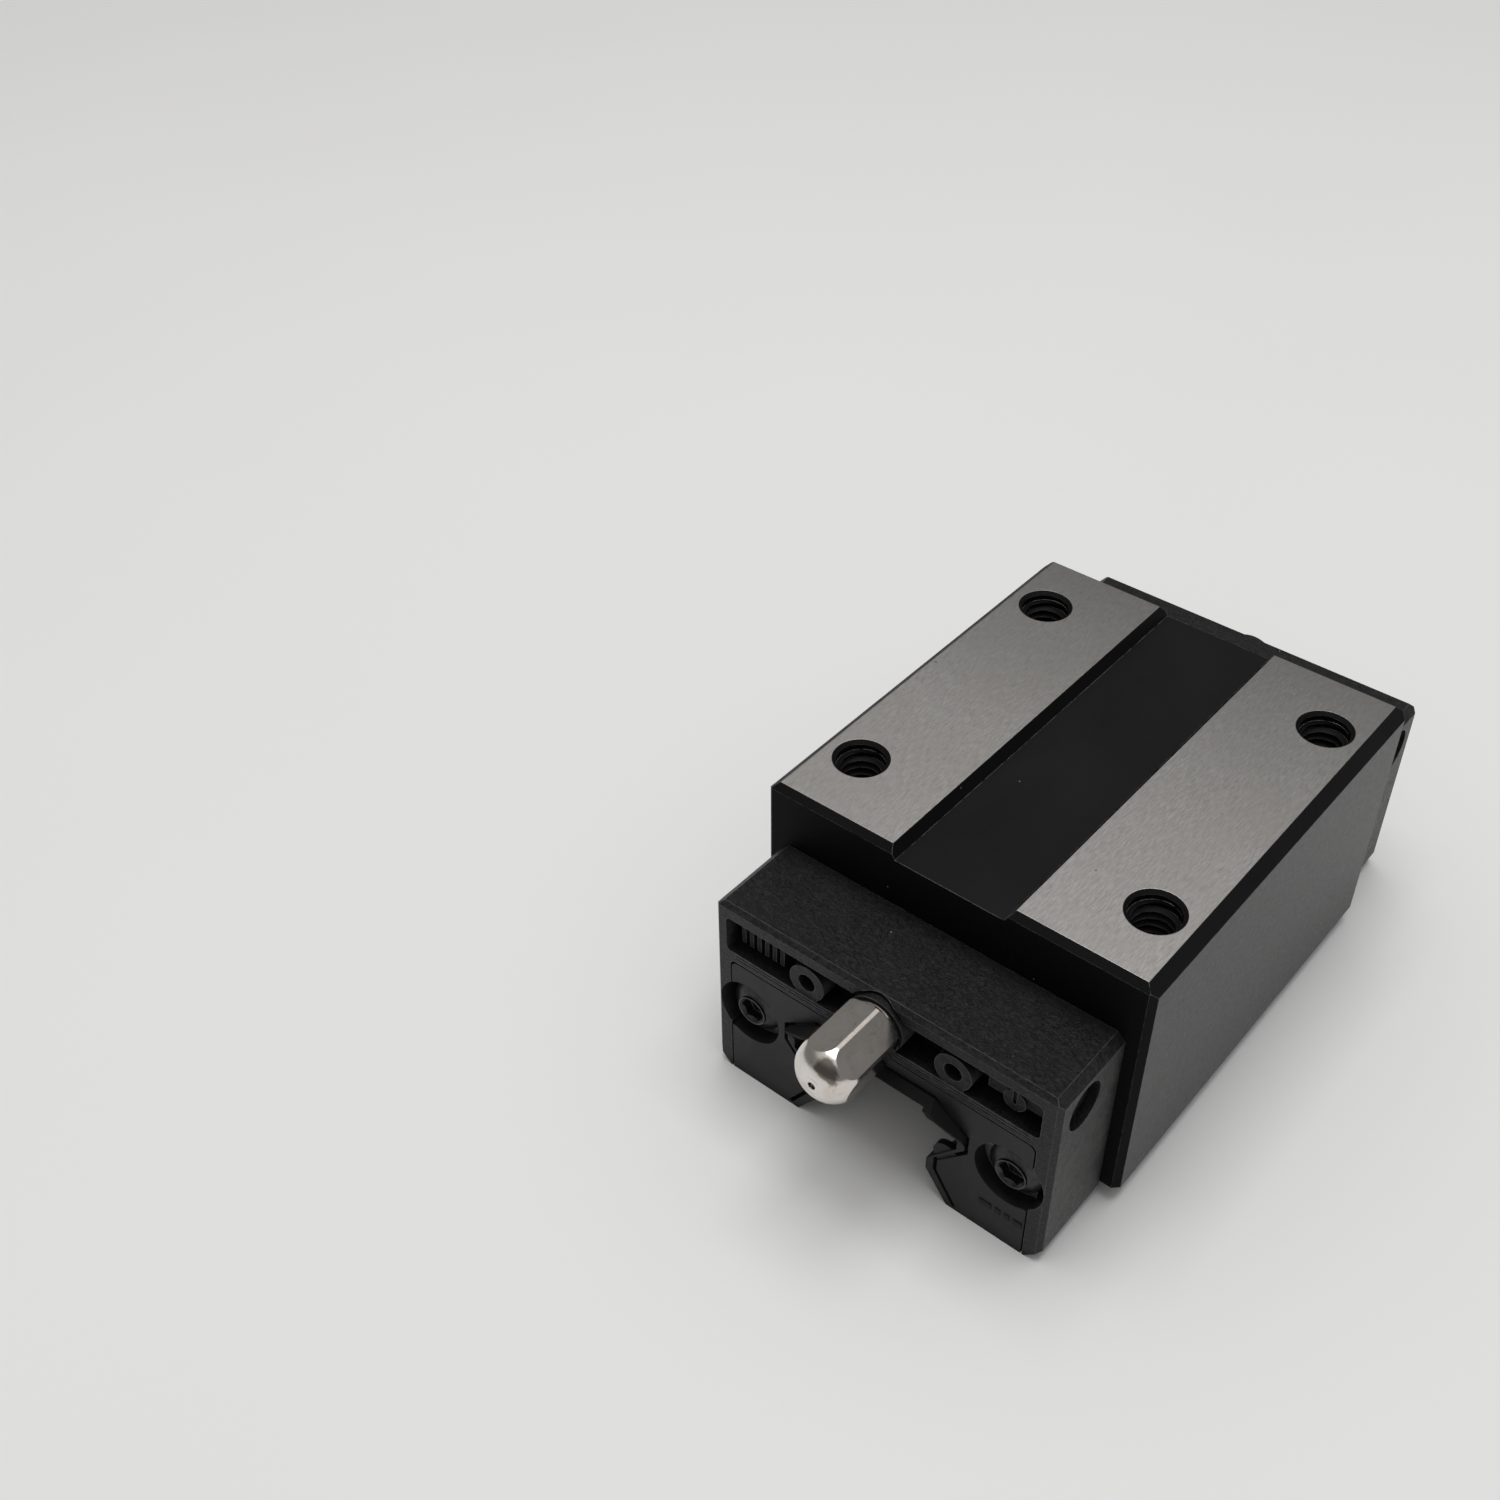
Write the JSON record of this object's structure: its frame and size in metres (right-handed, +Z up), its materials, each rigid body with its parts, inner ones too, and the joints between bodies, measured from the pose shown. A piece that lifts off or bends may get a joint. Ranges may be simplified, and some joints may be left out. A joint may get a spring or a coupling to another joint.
{
  "type": "linear guide carriage",
  "caption": "Square-body linear guide carriage: ground steel block with tapped holes, black end caps with wiper seals, and ball circuits that run on a profiled rail.",
  "frame": {"origin": "centre of the four mounting holes, in the plane of the ground mounting face", "axes": "+Z up out of the mounting face, +Y along the rail towards the end without the nipple, +X to the right seen from the nipple end"},
  "size_m": [0.034, 0.0642, 0.0237],
  "materials": {
    "ground_steel": "ground top strips and sides, black oxide elsewhere",
    "cap_plastic": "fine moulded grain",
    "seal_rubber": "matt",
    "plate_steel": "phosphated sheet steel",
    "black_screw": "black oxide",
    "guide_plastic": "natural acetal",
    "nickel": "warm nickel plate",
    "ball_steel": "polished bearing steel"
  },
  "bodies": {
    "carriage": {"carriage_block": "ground_steel", "front_end_cap": "cap_plastic", "rear_end_cap": "cap_plastic", "front_end_seal": "seal_rubber", "rear_end_seal": "seal_rubber", "front_seal_plate": "plate_steel", "rear_seal_plate": "plate_steel", "front_cap_screws": "black_screw", "rear_cap_screws": "black_screw", "left_bottom_seal": "seal_rubber", "right_bottom_seal": "seal_rubber", "upper_ball_retainer": "guide_plastic", "left_middle_ball_retainer": "guide_plastic", "right_middle_ball_retainer": "guide_plastic", "left_lower_ball_retainer": "guide_plastic", "right_lower_ball_retainer": "guide_plastic", "front_left_turn_guide": "guide_plastic", "front_right_turn_guide": "guide_plastic", "rear_left_turn_guide": "guide_plastic", "rear_right_turn_guide": "guide_plastic", "upper_left_return_liner": "guide_plastic", "upper_right_return_liner": "guide_plastic", "lower_left_return_liner": "guide_plastic", "lower_right_return_liner": "guide_plastic", "grease_nipple": "nickel", "rear_port_plug": "black_screw", "nipple_check_spring": "nickel"},
    "upper_left_load_row": {"upper_left_load_balls": "ball_steel"},
    "upper_left_return_row": {"upper_left_return_balls": "ball_steel"},
    "upper_left_front_turn_set": {"upper_left_front_turn_balls": "ball_steel"},
    "upper_left_rear_turn_set": {"upper_left_rear_turn_balls": "ball_steel"},
    "upper_right_load_row": {"upper_right_load_balls": "ball_steel"},
    "upper_right_return_row": {"upper_right_return_balls": "ball_steel"},
    "upper_right_front_turn_set": {"upper_right_front_turn_balls": "ball_steel"},
    "upper_right_rear_turn_set": {"upper_right_rear_turn_balls": "ball_steel"},
    "lower_left_load_row": {"lower_left_load_balls": "ball_steel"},
    "lower_left_return_row": {"lower_left_return_balls": "ball_steel"},
    "lower_left_front_turn_set": {"lower_left_front_turn_balls": "ball_steel"},
    "lower_left_rear_turn_set": {"lower_left_rear_turn_balls": "ball_steel"},
    "lower_right_load_row": {"lower_right_load_balls": "ball_steel"},
    "lower_right_return_row": {"lower_right_return_balls": "ball_steel"},
    "lower_right_front_turn_set": {"lower_right_front_turn_balls": "ball_steel"},
    "lower_right_rear_turn_set": {"lower_right_rear_turn_balls": "ball_steel"},
    "check_ball": {"nipple_check_ball": "ball_steel"}
  },
  "joints": [
    {"name": "upper_left_circulation", "type": "slide", "parent": "carriage", "child": "upper_left_load_row", "axis": [0, 1, 0], "range_m": [-0.00169, 0.00169]},
    {"name": "upper_left_return_slide", "type": "slide", "parent": "carriage", "child": "upper_left_return_row", "axis": [0, 1, 0], "range_m": [-0.0017, 0.0017]},
    {"name": "upper_left_front_turn", "type": "hinge", "parent": "carriage", "child": "upper_left_front_turn_set", "pos_m": [-0.00934, -0.02023, -0.01214], "axis": [0.5, 0, 0.866], "range_deg": [-30.1, 30.1]},
    {"name": "upper_left_rear_turn", "type": "hinge", "parent": "carriage", "child": "upper_left_rear_turn_set", "pos_m": [-0.00934, 0.02023, -0.01214], "axis": [0.5, 0, 0.866], "range_deg": [-30.1, 30.1]},
    {"name": "upper_right_circulation", "type": "slide", "parent": "carriage", "child": "upper_right_load_row", "axis": [0, 1, 0], "range_m": [-0.00169, 0.00169]},
    {"name": "upper_right_return_slide", "type": "slide", "parent": "carriage", "child": "upper_right_return_row", "axis": [0, 1, 0], "range_m": [-0.0017, 0.0017]},
    {"name": "upper_right_front_turn", "type": "hinge", "parent": "carriage", "child": "upper_right_front_turn_set", "pos_m": [0.00934, -0.02023, -0.01214], "axis": [0.5, 0, -0.866], "range_deg": [-30.1, 30.1]},
    {"name": "upper_right_rear_turn", "type": "hinge", "parent": "carriage", "child": "upper_right_rear_turn_set", "pos_m": [0.00934, 0.02023, -0.01214], "axis": [0.5, 0, -0.866], "range_deg": [-30.1, 30.1]},
    {"name": "lower_left_circulation", "type": "slide", "parent": "carriage", "child": "lower_left_load_row", "axis": [0, 1, 0], "range_m": [-0.00169, 0.00169]},
    {"name": "lower_left_return_slide", "type": "slide", "parent": "carriage", "child": "lower_left_return_row", "axis": [0, 1, 0], "range_m": [-0.0017, 0.0017]},
    {"name": "lower_left_front_turn", "type": "hinge", "parent": "carriage", "child": "lower_left_front_turn_set", "pos_m": [-0.00984, -0.02023, -0.01902], "axis": [-0.225, 0, 0.9744], "range_deg": [-30.1, 30.1]},
    {"name": "lower_left_rear_turn", "type": "hinge", "parent": "carriage", "child": "lower_left_rear_turn_set", "pos_m": [-0.00984, 0.02023, -0.01902], "axis": [-0.225, 0, 0.9744], "range_deg": [-30.1, 30.1]},
    {"name": "lower_right_circulation", "type": "slide", "parent": "carriage", "child": "lower_right_load_row", "axis": [0, 1, 0], "range_m": [-0.00169, 0.00169]},
    {"name": "lower_right_return_slide", "type": "slide", "parent": "carriage", "child": "lower_right_return_row", "axis": [0, 1, 0], "range_m": [-0.0017, 0.0017]},
    {"name": "lower_right_front_turn", "type": "hinge", "parent": "carriage", "child": "lower_right_front_turn_set", "pos_m": [0.00984, -0.02023, -0.01902], "axis": [-0.225, 0, -0.9744], "range_deg": [-30.1, 30.1]},
    {"name": "lower_right_rear_turn", "type": "hinge", "parent": "carriage", "child": "lower_right_rear_turn_set", "pos_m": [0.00984, 0.02023, -0.01902], "axis": [-0.225, 0, -0.9744], "range_deg": [-30.1, 30.1]},
    {"name": "nipple_check_slide", "type": "slide", "parent": "carriage", "child": "check_ball", "axis": [0, 1, 0], "range_m": [0, 0.0004], "stiffness_N_per_m": 100, "springref_m": -0.0004, "deforming": ["nipple_check_spring"]}
  ],
  "couplings": [
    {"joint": "upper_left_return_slide", "follows": "upper_left_circulation", "ratio": -1},
    {"joint": "upper_left_front_turn", "follows": "upper_left_circulation", "rad_per_m": 310.56},
    {"joint": "upper_left_rear_turn", "follows": "upper_left_circulation", "rad_per_m": 310.56},
    {"joint": "upper_right_return_slide", "follows": "upper_right_circulation", "ratio": -1},
    {"joint": "upper_right_front_turn", "follows": "upper_right_circulation", "rad_per_m": 310.56},
    {"joint": "upper_right_rear_turn", "follows": "upper_right_circulation", "rad_per_m": 310.56},
    {"joint": "lower_left_return_slide", "follows": "lower_left_circulation", "ratio": -1},
    {"joint": "lower_left_front_turn", "follows": "lower_left_circulation", "rad_per_m": 310.56},
    {"joint": "lower_left_rear_turn", "follows": "lower_left_circulation", "rad_per_m": 310.56},
    {"joint": "lower_right_return_slide", "follows": "lower_right_circulation", "ratio": -1},
    {"joint": "lower_right_front_turn", "follows": "lower_right_circulation", "rad_per_m": 310.56},
    {"joint": "lower_right_rear_turn", "follows": "lower_right_circulation", "rad_per_m": 310.56}
  ]
}
